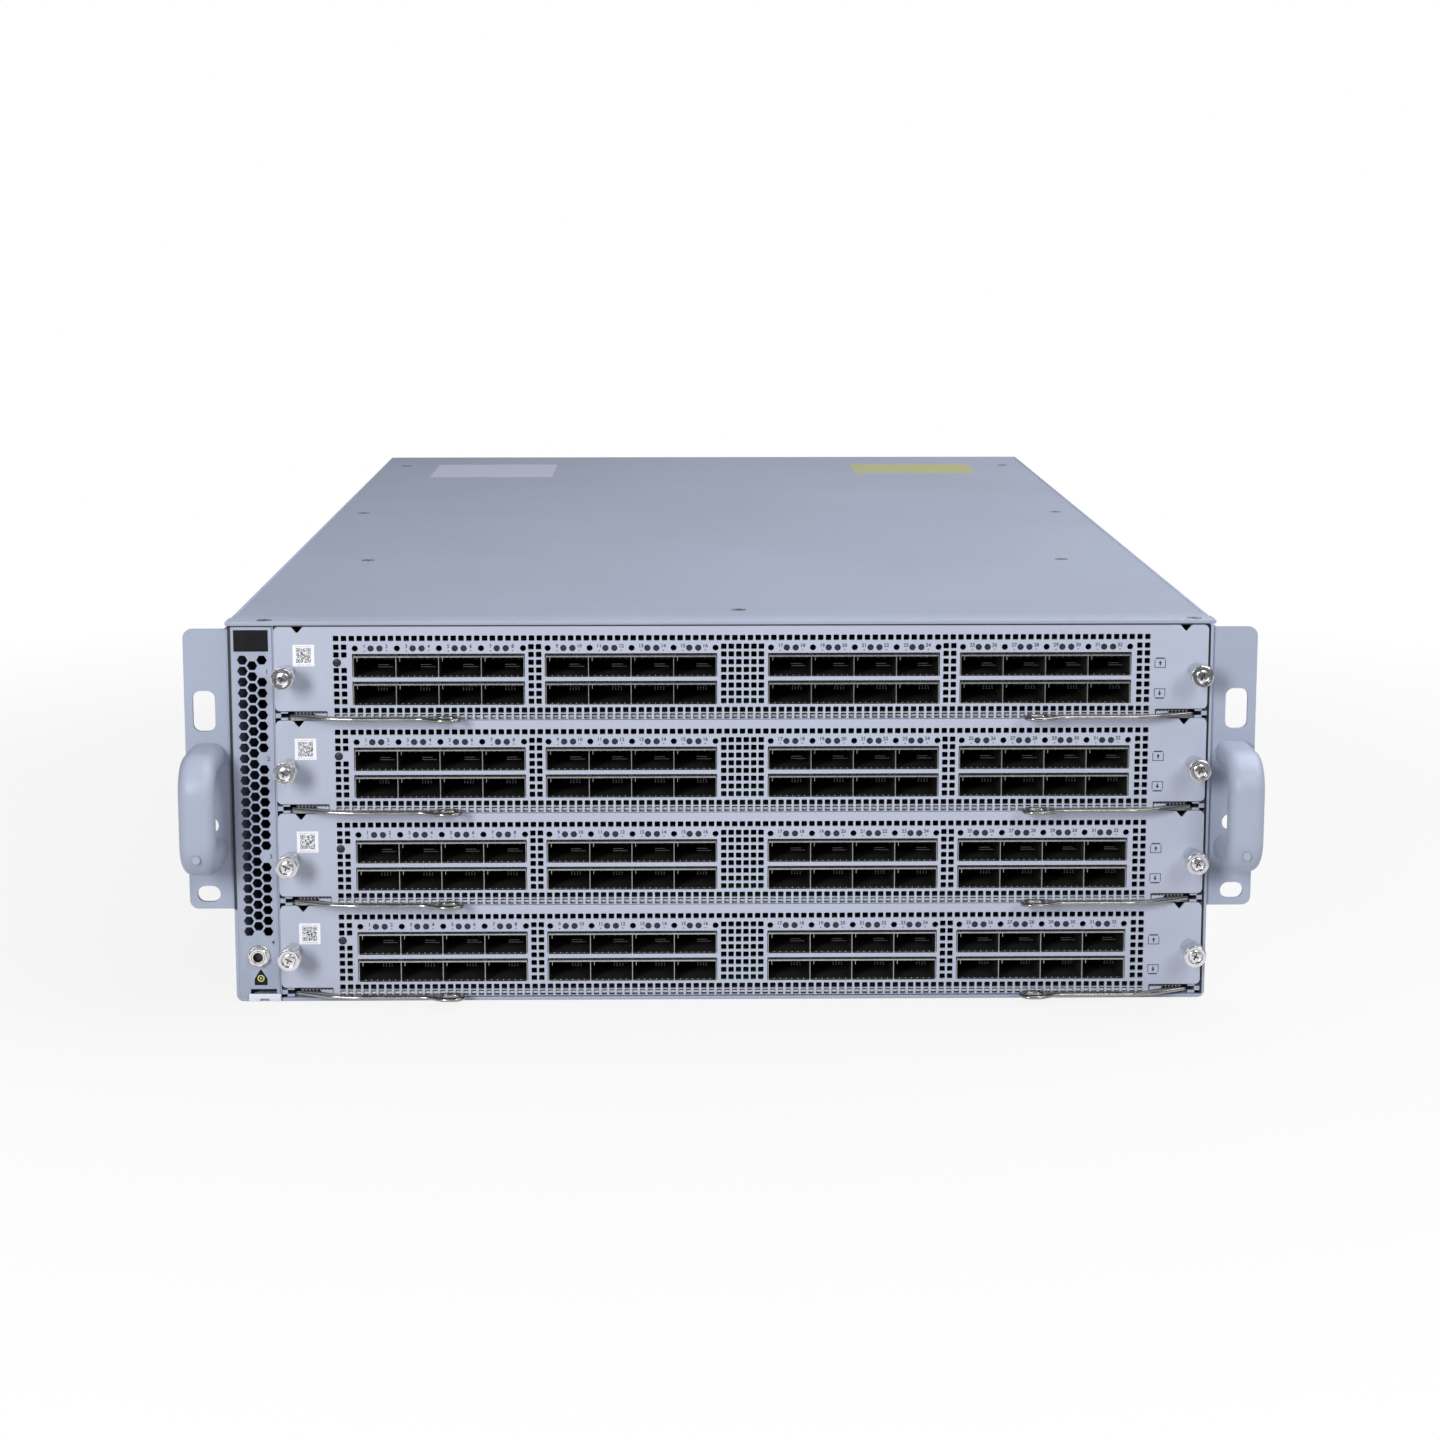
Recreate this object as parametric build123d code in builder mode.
from build123d import *
import os

os.makedirs("parts", exist_ok=True)

# A 4U modular rack switch: X to the right, Y to the back, Z up.
# The origin is the centre of the underside, and all sizes are in millimetres.

# Chassis
chassis_width = 442.0
chassis_depth = 760.0
chassis_height = 175.0
sheet = 1.5
bend_radius = 3.2
cover_lip_depth = 20.0
cover_hem = 0.5
cover_side_gap = 0.2
flange_width = 12.0
flange_start = 6.0

front_y = -chassis_depth / 2
rear_y = chassis_depth / 2
wall_inner_x = chassis_width / 2 - sheet
cover_under_z = chassis_height - sheet
bay_top_z = cover_under_z - cover_hem

# Card bays
card_count = 4
bay_floor_gap = 0.7
card_gap = 0.3
card_side_gap = 0.4
bay_depth = 330.0
shelf_thickness = 1.2
shelf_setback = 3.0
body_gap = 0.3

card_pitch = (bay_top_z - sheet - bay_floor_gap) / card_count
card_height = card_pitch - card_gap
first_card_top = bay_top_z - card_gap

# Vent column beside the cards
vent_width = 18.3
vent_groove = 0.8
vent_hex_flats = 4.1
vent_row_pitch = 5.0
vent_column_pitch = 4.33
vent_outer_x = -214.6
vent_outer_top = 17.4
vent_outer_rows = 26
vent_middle_rows = 25
vent_digit_drops = (22.4, 62.4, 107.4)

vent_right_x = -wall_inner_x + vent_width
panel_left_x = vent_right_x + vent_groove
panel_right_x = wall_inner_x - card_side_gap
panel_width = panel_right_x - panel_left_x
card_mid_x = (panel_left_x + panel_right_x) / 2
front_back_y = front_y + sheet

# Card front panel
panel_corner = 1.8
ear_notch_height = 4.1
ear_notch_width = 23.5
top_notch_x = 199.3
top_notch_width = 4.0
top_notch_depth = 3.0

# Port cages: four blocks of two rows by four ports
port_columns = 4
port_pitch = 19.1
cage_wall = 0.6
port_height = 9.0
spring_strip = 1.3
row_separator = 3.6
cage_floor = 0.5
cage_sag = 3.3
cage_depth = 48.0
connector_depth = 12.0
cage_gap = 0.15
block_pitch = 86.2
block_centre_gap = 100.1

port_width = port_pitch - cage_wall
cage_width = port_columns * port_pitch + cage_wall
cage_height = spring_strip + 2 * port_height + row_separator + cage_floor
cage_top_drop = (card_height - cage_height) / 2 + cage_sag
block_offsets = [
    -block_centre_gap / 2 - block_pitch,
    -block_centre_gap / 2,
    block_centre_gap / 2,
    block_centre_gap / 2 + block_pitch,
]

# Captive thumbscrews
screw_offset = 203.9
screw_drop = 20.6
screw_head_radius = 5.2
screw_head_sides = 12
screw_head_length = 6.0
screw_collar_length = 12.0
screw_collar_radius = 3.5
screw_shank_radius = 1.5
screw_shank_sides = 8
screw_shank_length = 7.0
screw_hole_radius = 2.1
stop_tab_setback = 3.5
stop_tab_width = 12.5
stop_tab_height = 14.0
rail_depth = 14.0

# Ejector levers
lever_thickness = 1.6
lever_rise = 1.2
pivot_offset = 198.5
pivot_setback = 5.0
pin_radius = 1.5
pin_clearance = 0.06
pin_sides = 8
hub_radius = 5.0
hub_corner = 2.0
hub_front_gap = 0.5
lever_gap = 6.2
lever_front = 10.6
lever_heel = 6.0
lever_heel_gap = 1.1
lever_neck = 17.0
lever_waist = 13.0
lever_waist_front = 8.8
lever_shoulder = 25.0
lever_reach = 73.0
loop_radius = 5.6
loop_run = 10.0
loop_front = 15.0
pivot_tab_thickness = 1.2
pivot_tab_gap = 0.2

# Card tray and board
tray_half_width = 195.5
tray_sheet = 1.0
tray_rise = 0.75
tray_wall_height = 24.0
tray_notch = 11.5
board_thickness = 2.0
board_margin = 3.0
backplane_connector_height = 14.0
backplane_connector_depth = 15.0
backplane_connector_width = 90.0
backplane_connector_offset = 110.0

# Midplane, main board and heat sink
midplane_thickness = 3.0
midplane_margin = 4.0
midplane_vent_width = 110.0
midplane_vent_height = 16.0
main_board_length = 108.0
main_board_rise = 14.0
board_rail_width = 8.0
board_rail_inset = 12.0
heat_sink_size = 86.0
heat_sink_base = 5.0
heat_sink_height = 28.0
heat_sink_fins = 6
heat_sink_fin = 1.6

# Rack ears and handles
ear_width = 20.3
ear_top_drop = 3.6
ear_height = 128.4
ear_setback = 2.0
ear_thickness = 2.0
ear_corner = 2.5
ear_flange_depth = 60.0
rack_hole_inset = 8.75
upper_slot_drop = 40.9
upper_slot_width = 10.0
upper_slot_height = 18.5
upper_slot_corner = 2.5
lower_slot_drop = 125.15
middle_slot_drop = 93.4
rack_slot_length = 10.4
rack_slot_width = 7.4
handle_span = 55.5
handle_bottom_z = 64.0
handle_projection = 38.0
handle_width = 16.0
handle_bar = 12.0
handle_inset = 9.7
handle_bend = 16.0

# Electrostatic discharge jack
jack_x = -210.3
jack_z = 21.6
jack_flange_radius = 4.9
jack_hex_flats = 8.0
jack_bore_radius = 2.0
jack_bore_depth = 12.0
jack_flange_length = 1.2
jack_nut_length = 3.0
jack_barrel_flats = 6.6
jack_hole_clearance = 0.2
jack_barrel_length = 12.0

# Pull-out asset tag
tag_width = 14.5
tag_strip_width = 11.0
tag_mid_x = -207.9
tag_thickness = 1.0
tag_rise = 0.4
tag_length = 70.0
tag_lip_height = 3.4
tag_lip_bottom = 0.4
tag_lip_thickness = 1.4
tag_notch_width = 5.0
tag_notch_height = 1.2
tag_notch_angle = 60.0
tag_slot_height = 4.2

# Rear modules
rear_deck_z = 43.2
deck_thickness = 1.2
module_gap = 0.4
module_web = 2.0
psu_count = 4
psu_width = 86.0
psu_height = 40.4
psu_depth = 300.0
management_width = 83.0
management_depth = 180.0
case_wall = 1.2
module_face_proud = 1.5
inlet_width = 25.0
inlet_height = 17.0
inlet_depth = 16.0
socket_width = 12.2
socket_height = 8.4
socket_pitch = 16.0
socket_depth = 14.0
fan_count = 3
fan_width = 140.0
fan_depth = 70.0
fan_pitch = 145.5
fan_slot_count = 3
fan_slot_pitch = 13.0
fan_slot_offset = 42.0
fan_slot_width = 9.0
fan_slot_height = 100.0
fan_tip_radius = 56.0
fan_hub_radius = 20.0
fan_hub_length = 24.0
fan_blades = 5
fan_blade_chord = 30.0
fan_blade_thickness = 1.6
fan_blade_pitch = 38.0
fan_axle_radius = 4.0
fan_axle_clearance = 0.06
pull_width = 40.0
pull_projection = 16.0
pull_bar = 5.0

rear_floor_z = sheet + module_gap
deck_top_z = rear_deck_z + deck_thickness
fan_height = cover_under_z - sheet - deck_top_z - 4 * module_gap


def card_bottom(row):
    """Underside of a card's front panel, counted from the top card."""
    return first_card_top - card_height - row * card_pitch


def save(part, name):
    """Name a finished piece and write it to its own file."""
    part.label = name
    export_step(part, "parts/" + name + ".step")


# Chassis tray: one folded sheet with a floor, two walls and two cover flanges
half_width = chassis_width / 2
with BuildPart() as chassis_tray:
    with BuildSketch(Plane.XZ.offset(-rear_y)):
        with BuildLine():
            Polyline(
                (-half_width, chassis_height),
                (-half_width, 0),
                (half_width, 0),
                (half_width, chassis_height),
                (half_width - sheet, chassis_height),
                (half_width - sheet, sheet),
                (-half_width + sheet, sheet),
                (-half_width + sheet, chassis_height),
                close=True,
            )
        make_face()
    extrude(amount=chassis_depth)
    outer_folds = chassis_tray.edges().filter_by(Axis.Y).group_by(Axis.Z)[0]
    fillet(outer_folds, bend_radius)
    # The walls stop under the cover's full-width front lip
    with BuildSketch(Plane.XY.offset(cover_under_z)):
        with Locations((0, front_y + cover_lip_depth / 2)):
            Rectangle(chassis_width, cover_lip_depth)
    extrude(amount=sheet, mode=Mode.SUBTRACT)
    # Inward flanges carry the cover
    with BuildSketch(Plane.XY.offset(cover_under_z - sheet)):
        for side in (-1, 1):
            with Locations((side * (wall_inner_x - flange_width / 2), flange_start / 2)):
                Rectangle(flange_width, chassis_depth - flange_start)
    extrude(amount=sheet)
    # Two raised rails carry the main board
    board_mid_y = front_y + bay_depth + midplane_thickness + 3 * sheet + main_board_length / 2
    with BuildSketch(Plane.XY.offset(sheet)):
        with Locations((0, board_mid_y)):
            with GridLocations(2 * (tray_half_width - board_rail_inset), 0, 2, 1):
                Rectangle(board_rail_width, main_board_length)
    extrude(amount=main_board_rise - sheet)
save(chassis_tray.part, "chassis_tray")

# Top cover: flat between the walls, with a full-width hemmed front lip
with BuildPart() as top_cover:
    with BuildSketch(Plane.XY.offset(cover_under_z)):
        with Locations((0, cover_lip_depth / 2)):
            Rectangle(2 * (wall_inner_x - cover_side_gap), chassis_depth - cover_lip_depth)
        with Locations((0, front_y + cover_lip_depth / 2)):
            Rectangle(chassis_width, cover_lip_depth)
    extrude(amount=sheet)
    with BuildSketch(Plane.XY.offset(bay_top_z)):
        with Locations((0, front_y + sheet / 2)):
            Rectangle(2 * wall_inner_x, sheet)
    extrude(amount=cover_hem)
save(top_cover.part, "top_cover")

# Vent column: folded plate with a hexagonal grille, a duct wall and screw tabs
vent_mid_x = (-wall_inner_x + vent_right_x) / 2
vent_height = bay_top_z - sheet
strip_mid_x = vent_right_x - sheet - tag_rise - tag_strip_width / 2
with BuildPart() as vent_column:
    with BuildSketch(Plane.XZ.offset(-front_back_y)):
        with Locations((vent_mid_x, sheet + vent_height / 2)):
            Rectangle(vent_width, vent_height)
        # Three staggered columns of hexagons; the inner one skips the slot digits
        hex_radius = vent_hex_flats / 2
        for row in range(vent_outer_rows):
            drop = vent_outer_top + row * vent_row_pitch
            columns = [0, 2]
            if any(abs(drop - digit) < 0.1 for digit in vent_digit_drops):
                columns = [0]
            for column in columns:
                with Locations((vent_outer_x + column * vent_column_pitch, chassis_height - drop)):
                    RegularPolygon(hex_radius, 6, major_radius=False, mode=Mode.SUBTRACT)
        for row in range(vent_middle_rows):
            drop = vent_outer_top + (row + 0.5) * vent_row_pitch
            with Locations((vent_outer_x + vent_column_pitch, chassis_height - drop)):
                RegularPolygon(hex_radius, 6, major_radius=False, mode=Mode.SUBTRACT)
        # Holes for the discharge jack and the pull-out tag
        with Locations((jack_x, jack_z)):
            hole_radius = jack_barrel_flats / 2 + jack_hole_clearance
            RegularPolygon(hole_radius, 6, major_radius=False, mode=Mode.SUBTRACT)
        with Locations((strip_mid_x, sheet + tag_slot_height / 2)):
            Rectangle(tag_strip_width + 2 * tag_rise, tag_slot_height, mode=Mode.SUBTRACT)
    extrude(amount=sheet)
    with BuildSketch(Plane.XY.offset(sheet)):
        with Locations((vent_right_x - sheet / 2, front_back_y + bay_depth / 2)):
            Rectangle(sheet, bay_depth)
    extrude(amount=cover_under_z - sheet - sheet)
    # Screw tabs bent towards the cards, one for each card
    tab_y = front_y + stop_tab_setback
    for row in range(card_count):
        screw_z = card_bottom(row) + card_height - screw_drop
        with BuildSketch(Plane.XZ.offset(-tab_y - sheet)):
            with Locations((vent_right_x + stop_tab_width / 2, screw_z)):
                Rectangle(stop_tab_width, stop_tab_height)
            with Locations((card_mid_x - screw_offset, screw_z)):
                RegularPolygon(screw_hole_radius, 6, mode=Mode.SUBTRACT)
        extrude(amount=sheet)
save(vent_column.part, "vent_column")

# Right-hand rail: an angle on the wall with the other four screw tabs
with BuildPart() as screw_rail:
    with BuildSketch(Plane.XY.offset(sheet)):
        with Locations((wall_inner_x - sheet / 2, tab_y + rail_depth / 2)):
            Rectangle(sheet, rail_depth)
    extrude(amount=cover_under_z - 2 * sheet)
    for row in range(card_count):
        screw_z = card_bottom(row) + card_height - screw_drop
        with BuildSketch(Plane.XZ.offset(-tab_y - sheet)):
            with Locations((wall_inner_x - stop_tab_width / 2, screw_z)):
                Rectangle(stop_tab_width, stop_tab_height)
            with Locations((card_mid_x + screw_offset, screw_z)):
                RegularPolygon(screw_hole_radius, 6, mode=Mode.SUBTRACT)
        extrude(amount=sheet)
save(screw_rail.part, "screw_rail")

# Shelves between the cards
shelf_left = vent_right_x
shelf_right = wall_inner_x
shelf_front = front_y + shelf_setback
shelf_back = front_back_y + bay_depth
rail_notch = stop_tab_setback + rail_depth - shelf_setback
with BuildPart() as card_shelves:
    for row in range(card_count - 1):
        shelf_z = card_bottom(row) - card_gap / 2 - shelf_thickness / 2
        with BuildSketch(Plane.XY.offset(shelf_z)):
            with Locations(((shelf_left + shelf_right) / 2, (shelf_front + rail_notch + shelf_back) / 2)):
                Rectangle(shelf_right - shelf_left, shelf_back - shelf_front - rail_notch)
            with Locations(((shelf_left + shelf_right - sheet) / 2, shelf_front + rail_notch / 2)):
                Rectangle(shelf_right - sheet - shelf_left, rail_notch)
        extrude(amount=shelf_thickness)
save(card_shelves.part, "card_shelves")

# Midplane that the cards plug into
midplane_y = shelf_back + body_gap
with BuildPart() as midplane_board:
    with BuildSketch(Plane.XZ.offset(-midplane_y - midplane_thickness)):
        with Locations((card_mid_x, (sheet + bay_top_z) / 2)):
            Rectangle(panel_width - midplane_margin, vent_height - midplane_margin)
            with GridLocations(0, card_pitch, 1, card_count):
                Rectangle(midplane_vent_width, midplane_vent_height, mode=Mode.SUBTRACT)
    extrude(amount=midplane_thickness)
save(midplane_board.part, "midplane_board")

# Main board behind the midplane
with BuildPart() as main_board:
    with BuildSketch(Plane.XY.offset(main_board_rise)):
        with Locations((0, board_mid_y)):
            Rectangle(2 * tray_half_width, main_board_length)
    extrude(amount=board_thickness)
save(main_board.part, "main_board")

# Finned heat sink on the switching chip
sink_bottom = main_board_rise + board_thickness
fin_pitch = (heat_sink_size - heat_sink_fin) / (heat_sink_fins - 1)
with BuildPart() as heat_sink:
    with BuildSketch(Plane.XZ.offset(-board_mid_y - heat_sink_size / 2)):
        with Locations((0, sink_bottom + heat_sink_base / 2)):
            Rectangle(heat_sink_size, heat_sink_base)
        with Locations((0, sink_bottom + heat_sink_height / 2)):
            with GridLocations(fin_pitch, heat_sink_height, heat_sink_fins, 1):
                Rectangle(heat_sink_fin, heat_sink_height)
    extrude(amount=heat_sink_size)
save(heat_sink.part, "heat_sink")

# Rack ears: slotted plates folded back along the chassis walls
ear_top_z = chassis_height - ear_top_drop
ear_y = front_y + ear_setback
with BuildPart() as rack_ears:
    for side in (-1, 1):
        with BuildSketch(Plane.XZ.offset(-ear_y - ear_thickness)) as ear_face:
            with Locations((side * (half_width + ear_width / 2), ear_top_z - ear_height / 2)):
                Rectangle(ear_width, ear_height)
            outer_corners = ear_face.vertices().sort_by(Axis.X)
            chamfer(outer_corners[-2:] if side > 0 else outer_corners[:2], ear_corner)
            slot_x = side * (half_width + ear_width - rack_hole_inset)
            for drop in (middle_slot_drop, lower_slot_drop):
                with Locations((slot_x, chassis_height - drop)):
                    SlotOverall(rack_slot_length, rack_slot_width, mode=Mode.SUBTRACT)
        extrude(amount=ear_thickness)
        with BuildSketch(Plane.XZ.offset(-ear_y - ear_thickness)) as upper_slot:
            with Locations((slot_x, chassis_height - upper_slot_drop)):
                Rectangle(upper_slot_width, upper_slot_height)
            chamfer(upper_slot.vertices(), upper_slot_corner)
        extrude(amount=ear_thickness, mode=Mode.SUBTRACT)
        with BuildSketch(Plane.XY.offset(ear_top_z - ear_height)):
            with Locations((side * (half_width + ear_thickness / 2), ear_y + ear_flange_depth / 2)):
                Rectangle(ear_thickness, ear_flange_depth)
        extrude(amount=ear_height)
save(rack_ears.part, "rack_ears")

# Carrying handles: cast loops screwed to the ears
handle_mid_z = handle_bottom_z + handle_span / 2
handle_offset = half_width + ear_width - handle_inset
with BuildPart() as handles:
    for side in (-1, 1):
        with BuildSketch(Plane.YZ.offset(side * handle_offset - handle_width / 2)) as handle_outline:
            with Locations((ear_y - handle_projection / 2, handle_mid_z)):
                Rectangle(handle_projection, handle_span)
            fillet(handle_outline.vertices().sort_by(Axis.Y)[:2], handle_bend)
            with Locations((ear_y - (handle_projection - handle_bar) / 2, handle_mid_z)):
                Rectangle(handle_projection - handle_bar, handle_span - 2 * handle_bar, mode=Mode.SUBTRACT)
            inner = handle_outline.vertices().group_by(Axis.Y)[-2]
            inner_corners = inner.sort_by(lambda corner: abs(corner.Z - handle_mid_z))[:2]
            chamfer(inner_corners, handle_bend - handle_bar)
        extrude(amount=handle_width)
save(handles.part, "handles")

# Discharge jack: flanged barrel, hexagon nut and a blind plug bore
with BuildPart() as esd_jack:
    with BuildSketch(Plane.XZ.offset(-front_y)):
        with Locations((jack_x, jack_z)):
            RegularPolygon(jack_flange_radius, pin_sides)
    extrude(amount=jack_flange_length)
    with BuildSketch(Plane.XZ.offset(-front_y + jack_flange_length)):
        with Locations((jack_x, jack_z)):
            RegularPolygon(jack_hex_flats / 2, 6, major_radius=False)
    extrude(amount=jack_nut_length)
    with BuildSketch(Plane.XZ.offset(-front_y)):
        with Locations((jack_x, jack_z)):
            RegularPolygon(jack_barrel_flats / 2, 6, major_radius=False)
    extrude(amount=-jack_barrel_length)
    with BuildSketch(Plane.XZ.offset(-front_y + jack_flange_length + jack_nut_length)):
        with Locations((jack_x, jack_z)):
            Circle(jack_bore_radius)
    extrude(amount=-jack_bore_depth, mode=Mode.SUBTRACT)
save(esd_jack.part, "esd_jack")

# Asset tag: a strip that pulls out under the vent column
tag_bottom = sheet + tag_rise
with BuildPart() as asset_tag:
    with BuildSketch(Plane.XY.offset(tag_bottom)):
        with Locations((strip_mid_x, front_y - body_gap + tag_length / 2)):
            Rectangle(tag_strip_width, tag_length)
    extrude(amount=tag_thickness)
    with BuildSketch(Plane.XZ.offset(-front_y + body_gap)):
        with Locations((tag_mid_x, tag_lip_bottom + tag_lip_height / 2)):
            Rectangle(tag_width, tag_lip_height)
        with Locations((tag_mid_x, tag_lip_bottom + tag_notch_height / 2)):
            Trapezoid(tag_notch_width, tag_notch_height, tag_notch_angle, mode=Mode.SUBTRACT)
    extrude(amount=tag_lip_thickness)
save(asset_tag.part, "asset_tag")


def make_panel(row, name):
    """Card front: a flat panel with port windows, screw holes and lever notches."""
    bottom = card_bottom(row)
    top = bottom + card_height
    with BuildPart() as panel:
        with BuildSketch(Plane.XZ.offset(-front_back_y)) as face:
            with Locations((card_mid_x, bottom + card_height / 2)):
                Rectangle(panel_width, card_height)
            for side in (-1, 1):
                with Locations((card_mid_x + side * panel_width / 2, bottom)):
                    Rectangle(2 * ear_notch_width, 2 * ear_notch_height, mode=Mode.SUBTRACT)
            for end in (face.vertices().group_by(Axis.X)[0], face.vertices().group_by(Axis.X)[-1]):
                chamfer(end, panel_corner)
            for side in (-1, 1):
                with Locations((card_mid_x + side * top_notch_x, top)):
                    Triangle(
                        a=top_notch_width,
                        b=(top_notch_depth**2 + top_notch_width**2 / 4) ** 0.5,
                        c=(top_notch_depth**2 + top_notch_width**2 / 4) ** 0.5,
                        rotation=180,
                        align=(Align.CENTER, Align.MIN),
                        mode=Mode.SUBTRACT,
                    )
                with Locations((card_mid_x + side * screw_offset, top - screw_drop)):
                    RegularPolygon(screw_hole_radius, 6, mode=Mode.SUBTRACT)
            for offset in block_offsets:
                with Locations((card_mid_x + offset, top - cage_top_drop - cage_height / 2)):
                    Rectangle(
                        cage_width + 2 * cage_gap, cage_height + 2 * cage_gap, mode=Mode.SUBTRACT
                    )
        extrude(amount=sheet)
    save(panel.part, name)


def make_tray(row, name):
    """Card tray: a folded floor and walls, with a pivot tab and pin at each front corner."""
    bottom = card_bottom(row)
    floor_z = bottom + tray_rise
    with BuildPart() as tray:
        with BuildSketch(Plane.XY.offset(floor_z)):
            with Locations((card_mid_x, front_back_y + (bay_depth - body_gap) / 2)):
                Rectangle(2 * tray_half_width, bay_depth - body_gap)
        extrude(amount=tray_wall_height)
        with BuildSketch(Plane.XY.offset(floor_z + tray_sheet)):
            with Locations((card_mid_x, 0)):
                Rectangle(2 * (tray_half_width - tray_sheet), 2 * chassis_depth)
        extrude(amount=tray_wall_height, mode=Mode.SUBTRACT)
        # Corners are cut away around the lever hubs
        tab_z = bottom + ear_notch_height - pivot_tab_gap
        notch_depth = pivot_setback + 2 * hub_radius
        for side in (-1, 1):
            with BuildSketch(Plane.XY.offset(floor_z)):
                with Locations((card_mid_x + side * tray_half_width, front_y + notch_depth / 2)):
                    Rectangle(2 * tray_notch, notch_depth)
            extrude(amount=tab_z - floor_z, mode=Mode.SUBTRACT)
            tab_reach = pivot_offset + hub_radius - tray_half_width + tray_sheet
            with BuildSketch(Plane.XY.offset(tab_z)):
                with Locations(
                    (
                        card_mid_x + side * (tray_half_width - tray_sheet + tab_reach / 2),
                        (front_back_y + front_y + notch_depth) / 2,
                    )
                ):
                    Rectangle(tab_reach, notch_depth - sheet)
            extrude(amount=pivot_tab_thickness)
            with BuildSketch(Plane.XY.offset(tab_z)):
                with Locations((card_mid_x + side * pivot_offset, front_y + pivot_setback)):
                    RegularPolygon(pin_radius, pin_sides)
            extrude(amount=-(tab_z - bottom - lever_rise))
    save(tray.part, name)


def make_board(row, name):
    """Card circuit board with its two rear connectors."""
    bottom = card_bottom(row)
    top = bottom + card_height
    board_top = top - cage_top_drop - cage_height
    board_front = front_back_y + board_margin
    board_back = front_back_y + bay_depth - body_gap - backplane_connector_depth / 2
    with BuildPart() as board:
        with BuildSketch(Plane.XY.offset(board_top - board_thickness)):
            with Locations((card_mid_x, (board_front + board_back) / 2)):
                Rectangle(2 * (tray_half_width - board_margin - tray_sheet), board_back - board_front)
        extrude(amount=board_thickness)
    with BuildPart() as connectors:
        with BuildSketch(Plane.XY.offset(board_top)):
            with Locations((card_mid_x, board_back)):
                with GridLocations(2 * backplane_connector_offset, 1, 2, 1):
                    Rectangle(backplane_connector_width, backplane_connector_depth - body_gap)
        extrude(amount=backplane_connector_height)
    save(Compound(children=[board.part, connectors.part]), name)


def make_cages(row, name):
    """Port cages: stamped uprights, separators, roofs and floors, and the connectors behind."""
    top = card_bottom(row) + card_height - cage_top_drop
    upper_row_z = top - spring_strip - port_height
    lower_row_z = upper_row_z - row_separator - port_height
    cage_mid_y = front_y + cage_depth / 2
    block_mids = [(card_mid_x + offset, cage_mid_y) for offset in block_offsets]
    with BuildPart() as uprights:
        with BuildSketch(Plane.XY.offset(lower_row_z)):
            with Locations(*block_mids):
                with GridLocations(port_pitch, 0, port_columns + 1, 1):
                    Rectangle(cage_wall, cage_depth)
        extrude(amount=top - spring_strip - lower_row_z)
    with BuildPart() as separators:
        with BuildSketch(Plane.XY.offset(lower_row_z + port_height)):
            with Locations(*block_mids):
                with GridLocations(port_pitch, 0, port_columns, 1):
                    Rectangle(port_width, cage_depth)
        extrude(amount=row_separator)
    with BuildPart() as plates:
        with BuildSketch(Plane.XY.offset(top - spring_strip)):
            with Locations(*block_mids):
                Rectangle(cage_width, cage_depth)
        extrude(amount=spring_strip)
        with BuildSketch(Plane.XY.offset(lower_row_z - cage_floor)):
            with Locations(*block_mids):
                Rectangle(cage_width, cage_depth)
        extrude(amount=cage_floor)
    with BuildPart() as connectors:
        with BuildSketch(Plane.XY.offset(lower_row_z - cage_floor)):
            with Locations(*block_mids):
                with Locations((0, (cage_depth + connector_depth) / 2)):
                    Rectangle(cage_width, connector_depth)
        extrude(amount=cage_height)
    pieces = [uprights.part, separators.part, plates.part, connectors.part]
    save(Compound(children=pieces), name)


def make_screw(row, side, name):
    """Captive thumbscrew: knurled head, collar and shank."""
    screw_x = card_mid_x + side * screw_offset
    screw_z = card_bottom(row) + card_height - screw_drop
    collar_front = front_y - body_gap
    with BuildPart() as screw:
        with BuildSketch(Plane.XZ.offset(-collar_front + screw_collar_length)):
            with Locations((screw_x, screw_z)):
                RegularPolygon(screw_head_radius, screw_head_sides)
        extrude(amount=screw_head_length)
        with BuildSketch(Plane.XZ.offset(-collar_front)):
            with Locations((screw_x, screw_z)):
                RegularPolygon(screw_collar_radius, screw_shank_sides)
        extrude(amount=screw_collar_length)
        with BuildSketch(Plane.XZ.offset(-collar_front)):
            with Locations((screw_x, screw_z)):
                RegularPolygon(screw_shank_radius, screw_shank_sides)
        extrude(amount=-screw_shank_length)
    save(screw.part, name)


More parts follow.
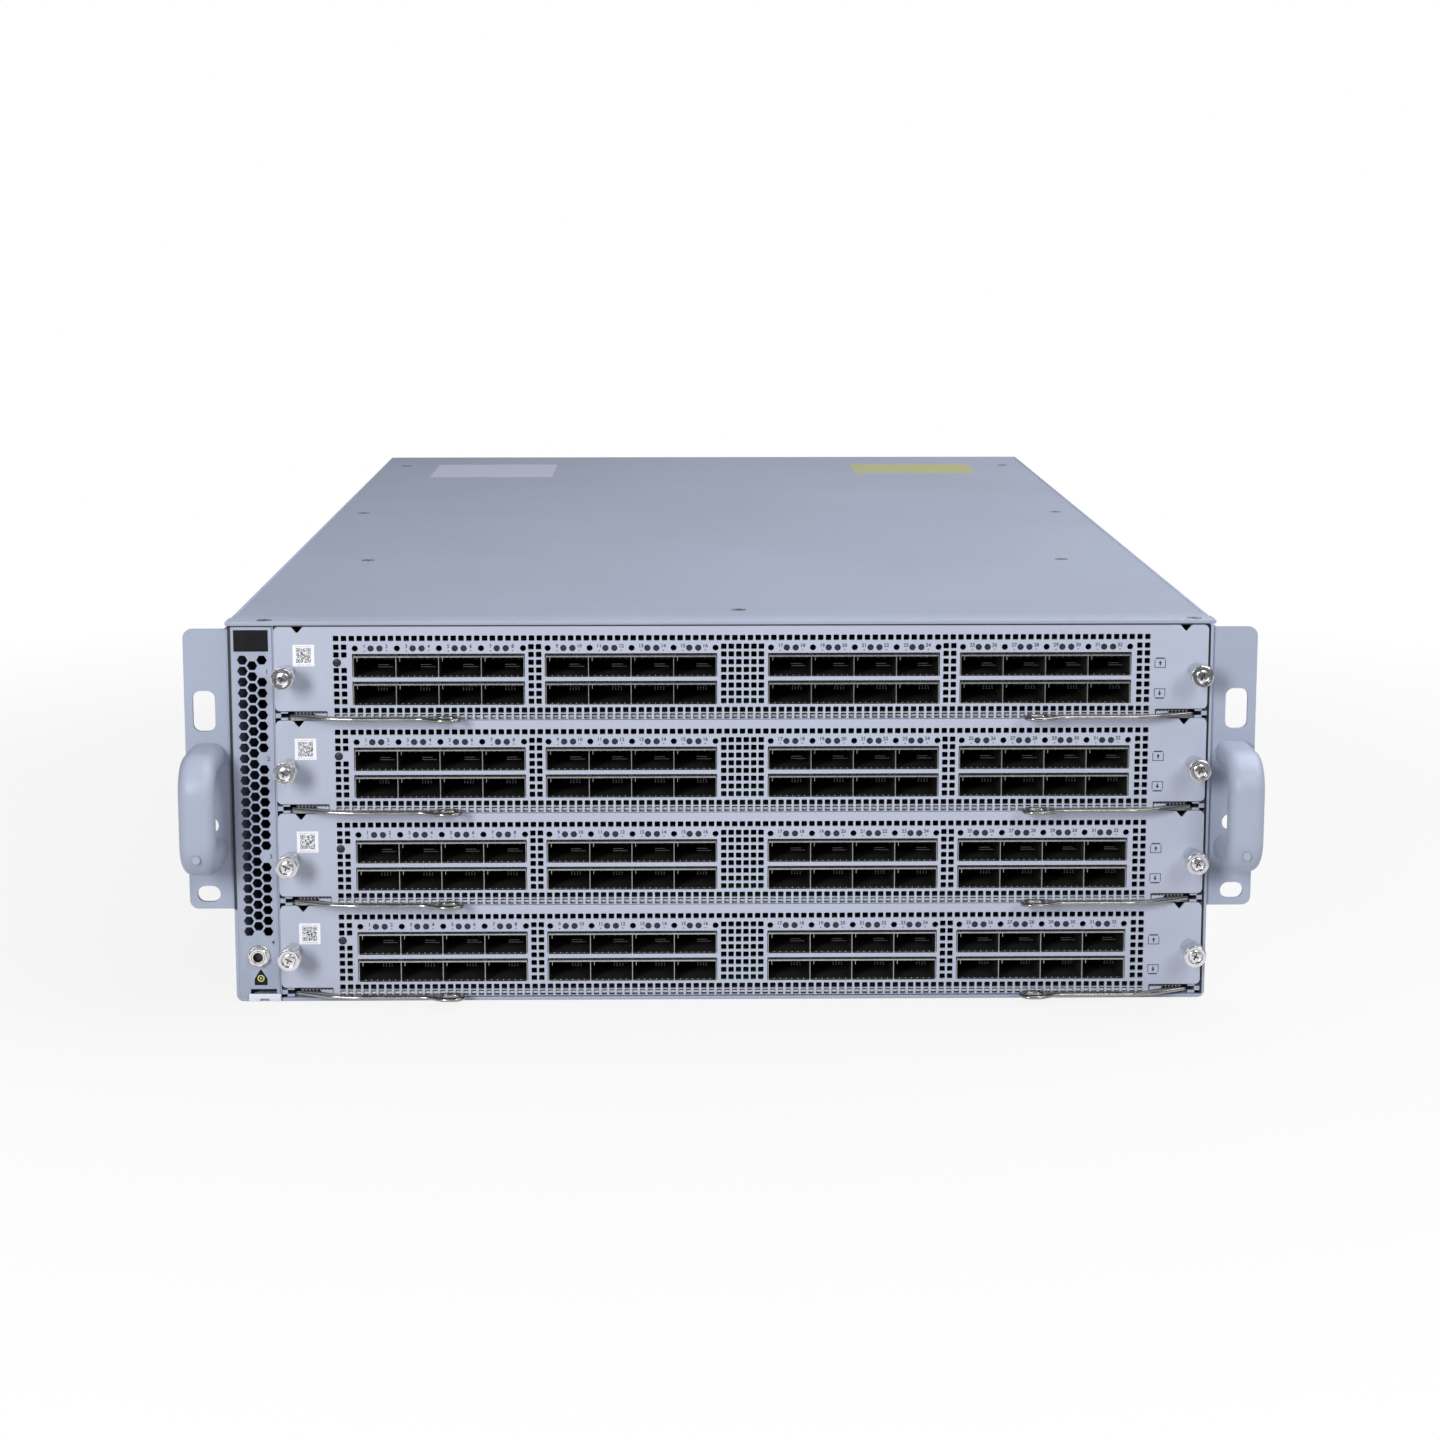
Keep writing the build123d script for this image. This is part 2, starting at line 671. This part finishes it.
def make_lever(row, side, name):
    """Ejector lever: flat steel arm with a pivot hub and a finger loop."""
    pivot_x = card_mid_x + side * pivot_offset
    pivot_y = front_y + pivot_setback
    back_y = front_y - lever_gap
    edge_y = front_y - lever_front
    loop_x = pivot_x - side * (lever_reach - loop_radius)
    loop_y = front_y - loop_front + loop_radius
    hub_x = pivot_x + side * hub_radius
    hub_flat = hub_radius - hub_corner
    tip_step = loop_radius * 0.5**0.5
    with BuildPart() as lever:
        with BuildSketch(Plane.XY.offset(card_bottom(row) + lever_rise)):
            with BuildLine():
                Polyline(
                    (pivot_x - side * lever_heel, front_y - lever_heel_gap),
                    (pivot_x - side * lever_neck, back_y),
                    (loop_x + side * loop_run, back_y),
                    (loop_x, loop_y + loop_radius),
                )
                Polyline(
                    (loop_x, loop_y + loop_radius),
                    (loop_x - side * tip_step, loop_y + tip_step),
                    (loop_x - side * loop_radius, loop_y),
                    (loop_x - side * tip_step, loop_y - tip_step),
                    (loop_x, loop_y - loop_radius),
                    (loop_x + side * loop_run, edge_y),
                    (pivot_x - side * lever_shoulder, edge_y),
                    (pivot_x - side * lever_waist, front_y - lever_waist_front),
                    (hub_x, front_y - hub_front_gap),
                    (hub_x, pivot_y + hub_flat),
                    (pivot_x + side * hub_flat, pivot_y + hub_radius),
                    (pivot_x - side * hub_flat, pivot_y + hub_radius),
                    (pivot_x - side * hub_radius, pivot_y + hub_flat),
                    (pivot_x - side * lever_heel, front_y - lever_heel_gap),
                )
            make_face()
            with Locations((pivot_x, pivot_y)):
                bore_radius = pin_radius + pin_clearance
                RegularPolygon(bore_radius, pin_sides, major_radius=False, mode=Mode.SUBTRACT)
        extrude(amount=lever_thickness)
    save(lever.part, name)


for card_row in range(card_count):
    card = "card_" + str(card_row + 1)
    make_panel(card_row, card + "_panel")
    make_tray(card_row, card + "_tray")
    make_board(card_row, card + "_board")
    make_cages(card_row, card + "_cages")
    make_screw(card_row, -1, card + "_screw_left")
    make_screw(card_row, 1, card + "_screw_right")
    make_lever(card_row, -1, card + "_lever_left")
    make_lever(card_row, 1, card + "_lever_right")

# Rear frame: a plate with the module openings and the deck between the two rows
modules_width = psu_count * psu_width + management_width + psu_count * module_web
first_module_x = -modules_width / 2 + psu_width / 2
module_xs = [first_module_x + index * (psu_width + module_web) for index in range(psu_count)]
management_x = modules_width / 2 - management_width / 2
lower_mid_z = rear_floor_z + psu_height / 2
fan_mid_z = deck_top_z + module_gap + fan_height / 2
with BuildPart() as rear_frame:
    with BuildSketch(Plane.XZ.offset(-rear_y)):
        with Locations((0, cover_under_z / 2)):
            Rectangle(2 * wall_inner_x, cover_under_z - 2 * sheet)
        for module_x in module_xs:
            with Locations((module_x, lower_mid_z)):
                Rectangle(psu_width + module_gap, psu_height + module_gap, mode=Mode.SUBTRACT)
        with Locations((management_x, lower_mid_z)):
            Rectangle(management_width + module_gap, psu_height + module_gap, mode=Mode.SUBTRACT)
        with Locations((0, fan_mid_z)):
            with GridLocations(fan_pitch, fan_height, fan_count, 1):
                Rectangle(fan_width + 2 * module_gap, fan_height + module_gap, mode=Mode.SUBTRACT)
    extrude(amount=sheet)
    with BuildSketch(Plane.XY.offset(rear_deck_z)):
        with Locations((0, rear_y - psu_depth / 2)):
            Rectangle(2 * wall_inner_x, psu_depth)
    extrude(amount=deck_thickness)
save(rear_frame.part, "rear_frame")


module_face_y = rear_y + module_face_proud


def pull_outline(loop_x, loop_z):
    """Outline of a pull loop that stands out of a module's rear face."""
    with BuildSketch(Plane.XY.offset(loop_z - pull_bar / 2)) as outline:
        with Locations((loop_x, module_face_y + pull_projection / 2)):
            Rectangle(pull_width, pull_projection)
        with Locations((loop_x, module_face_y + (pull_projection - pull_bar) / 2)):
            Rectangle(pull_width - 2 * pull_bar, pull_projection - pull_bar, mode=Mode.SUBTRACT)
    return outline.sketch


# Power supplies: closed cases with a mains inlet and a pull loop
for index, module_x in enumerate(module_xs):
    with BuildPart() as supply:
        with BuildSketch(Plane.XZ.offset(-module_face_y)):
            with Locations((module_x, lower_mid_z)):
                Rectangle(psu_width - module_gap, psu_height)
        extrude(amount=psu_depth)
        with BuildSketch(Plane.XZ.offset(-module_face_y)):
            with Locations((module_x - psu_width / 4, lower_mid_z)):
                Rectangle(inlet_width, inlet_height)
        extrude(amount=inlet_depth, mode=Mode.SUBTRACT)
        extrude(pull_outline(module_x + psu_width / 4, lower_mid_z), amount=pull_bar)
    save(supply.part, "power_supply_" + str(index + 1))

# Management module: closed case with two network sockets and a pull loop
with BuildPart() as management_module:
    with BuildSketch(Plane.XZ.offset(-module_face_y)):
        with Locations((management_x, lower_mid_z)):
            Rectangle(management_width - module_gap, psu_height)
    extrude(amount=management_depth)
    with BuildSketch(Plane.XZ.offset(-module_face_y)):
        with Locations((management_x - management_width / 4, lower_mid_z)):
            with GridLocations(socket_pitch, 0, 2, 1):
                Rectangle(socket_width, socket_height)
    extrude(amount=socket_depth, mode=Mode.SUBTRACT)
    extrude(pull_outline(management_x + management_width / 4, lower_mid_z), amount=pull_bar)
save(management_module.part, "management_module")

# Fan modules: a folded case with a slotted guard, an axle and a bladed rotor
rotor_front_y = module_face_y - sheet - 2 * module_gap
fan_first_x = -fan_pitch * (fan_count - 1) / 2
for index in range(fan_count):
    fan_x = fan_first_x + index * fan_pitch
    with BuildPart() as fan_case:
        with BuildSketch(Plane.XZ.offset(-module_face_y)):
            with Locations((fan_x, fan_mid_z)):
                Rectangle(fan_width, fan_height)
        extrude(amount=fan_depth)
        with BuildSketch(Plane.XZ.offset(-module_face_y + sheet)):
            with Locations((fan_x, fan_mid_z)):
                Rectangle(fan_width - 2 * case_wall, fan_height - 2 * case_wall)
        extrude(amount=fan_depth, mode=Mode.SUBTRACT)
        with BuildSketch(Plane.XZ.offset(-module_face_y)):
            for half in (-1, 1):
                with Locations((fan_x + half * fan_slot_offset, fan_mid_z)):
                    with GridLocations(fan_slot_pitch, 0, fan_slot_count, 1):
                        Rectangle(fan_slot_width, fan_slot_height)
        extrude(amount=sheet, mode=Mode.SUBTRACT)
        with BuildSketch(Plane.XZ.offset(-module_face_y + sheet)):
            with Locations((fan_x, fan_mid_z)):
                RegularPolygon(fan_axle_radius, pin_sides)
        extrude(amount=fan_hub_length)
        extrude(pull_outline(fan_x, fan_mid_z), amount=pull_bar)
    save(fan_case.part, "fan_" + str(index + 1) + "_case")
    with BuildPart() as rotor:
        with BuildSketch(Plane.XZ.offset(-rotor_front_y)):
            with Locations((fan_x, fan_mid_z)):
                RegularPolygon(fan_hub_radius, pin_sides)
        extrude(amount=fan_hub_length)
        for blade in range(fan_blades):
            spoke = Vector(0, 0, 1).rotate(Axis.Y, 360 * blade / fan_blades)
            hub_mid = Vector(fan_x, rotor_front_y - fan_hub_length / 2, fan_mid_z)
            blade_plane = Plane(hub_mid + spoke * fan_axle_radius * 2, x_dir=(0, 1, 0), z_dir=spoke)
            with BuildSketch(blade_plane):
                Rectangle(fan_blade_chord, fan_blade_thickness, rotation=fan_blade_pitch)
            extrude(amount=fan_tip_radius - 2 * fan_axle_radius)
        with BuildSketch(Plane.XZ.offset(-rotor_front_y)):
            with Locations((fan_x, fan_mid_z)):
                bore_radius = fan_axle_radius + fan_axle_clearance
                RegularPolygon(bore_radius, pin_sides, major_radius=False)
        extrude(amount=fan_hub_length, mode=Mode.SUBTRACT)
    save(rotor.part, "fan_" + str(index + 1) + "_rotor")
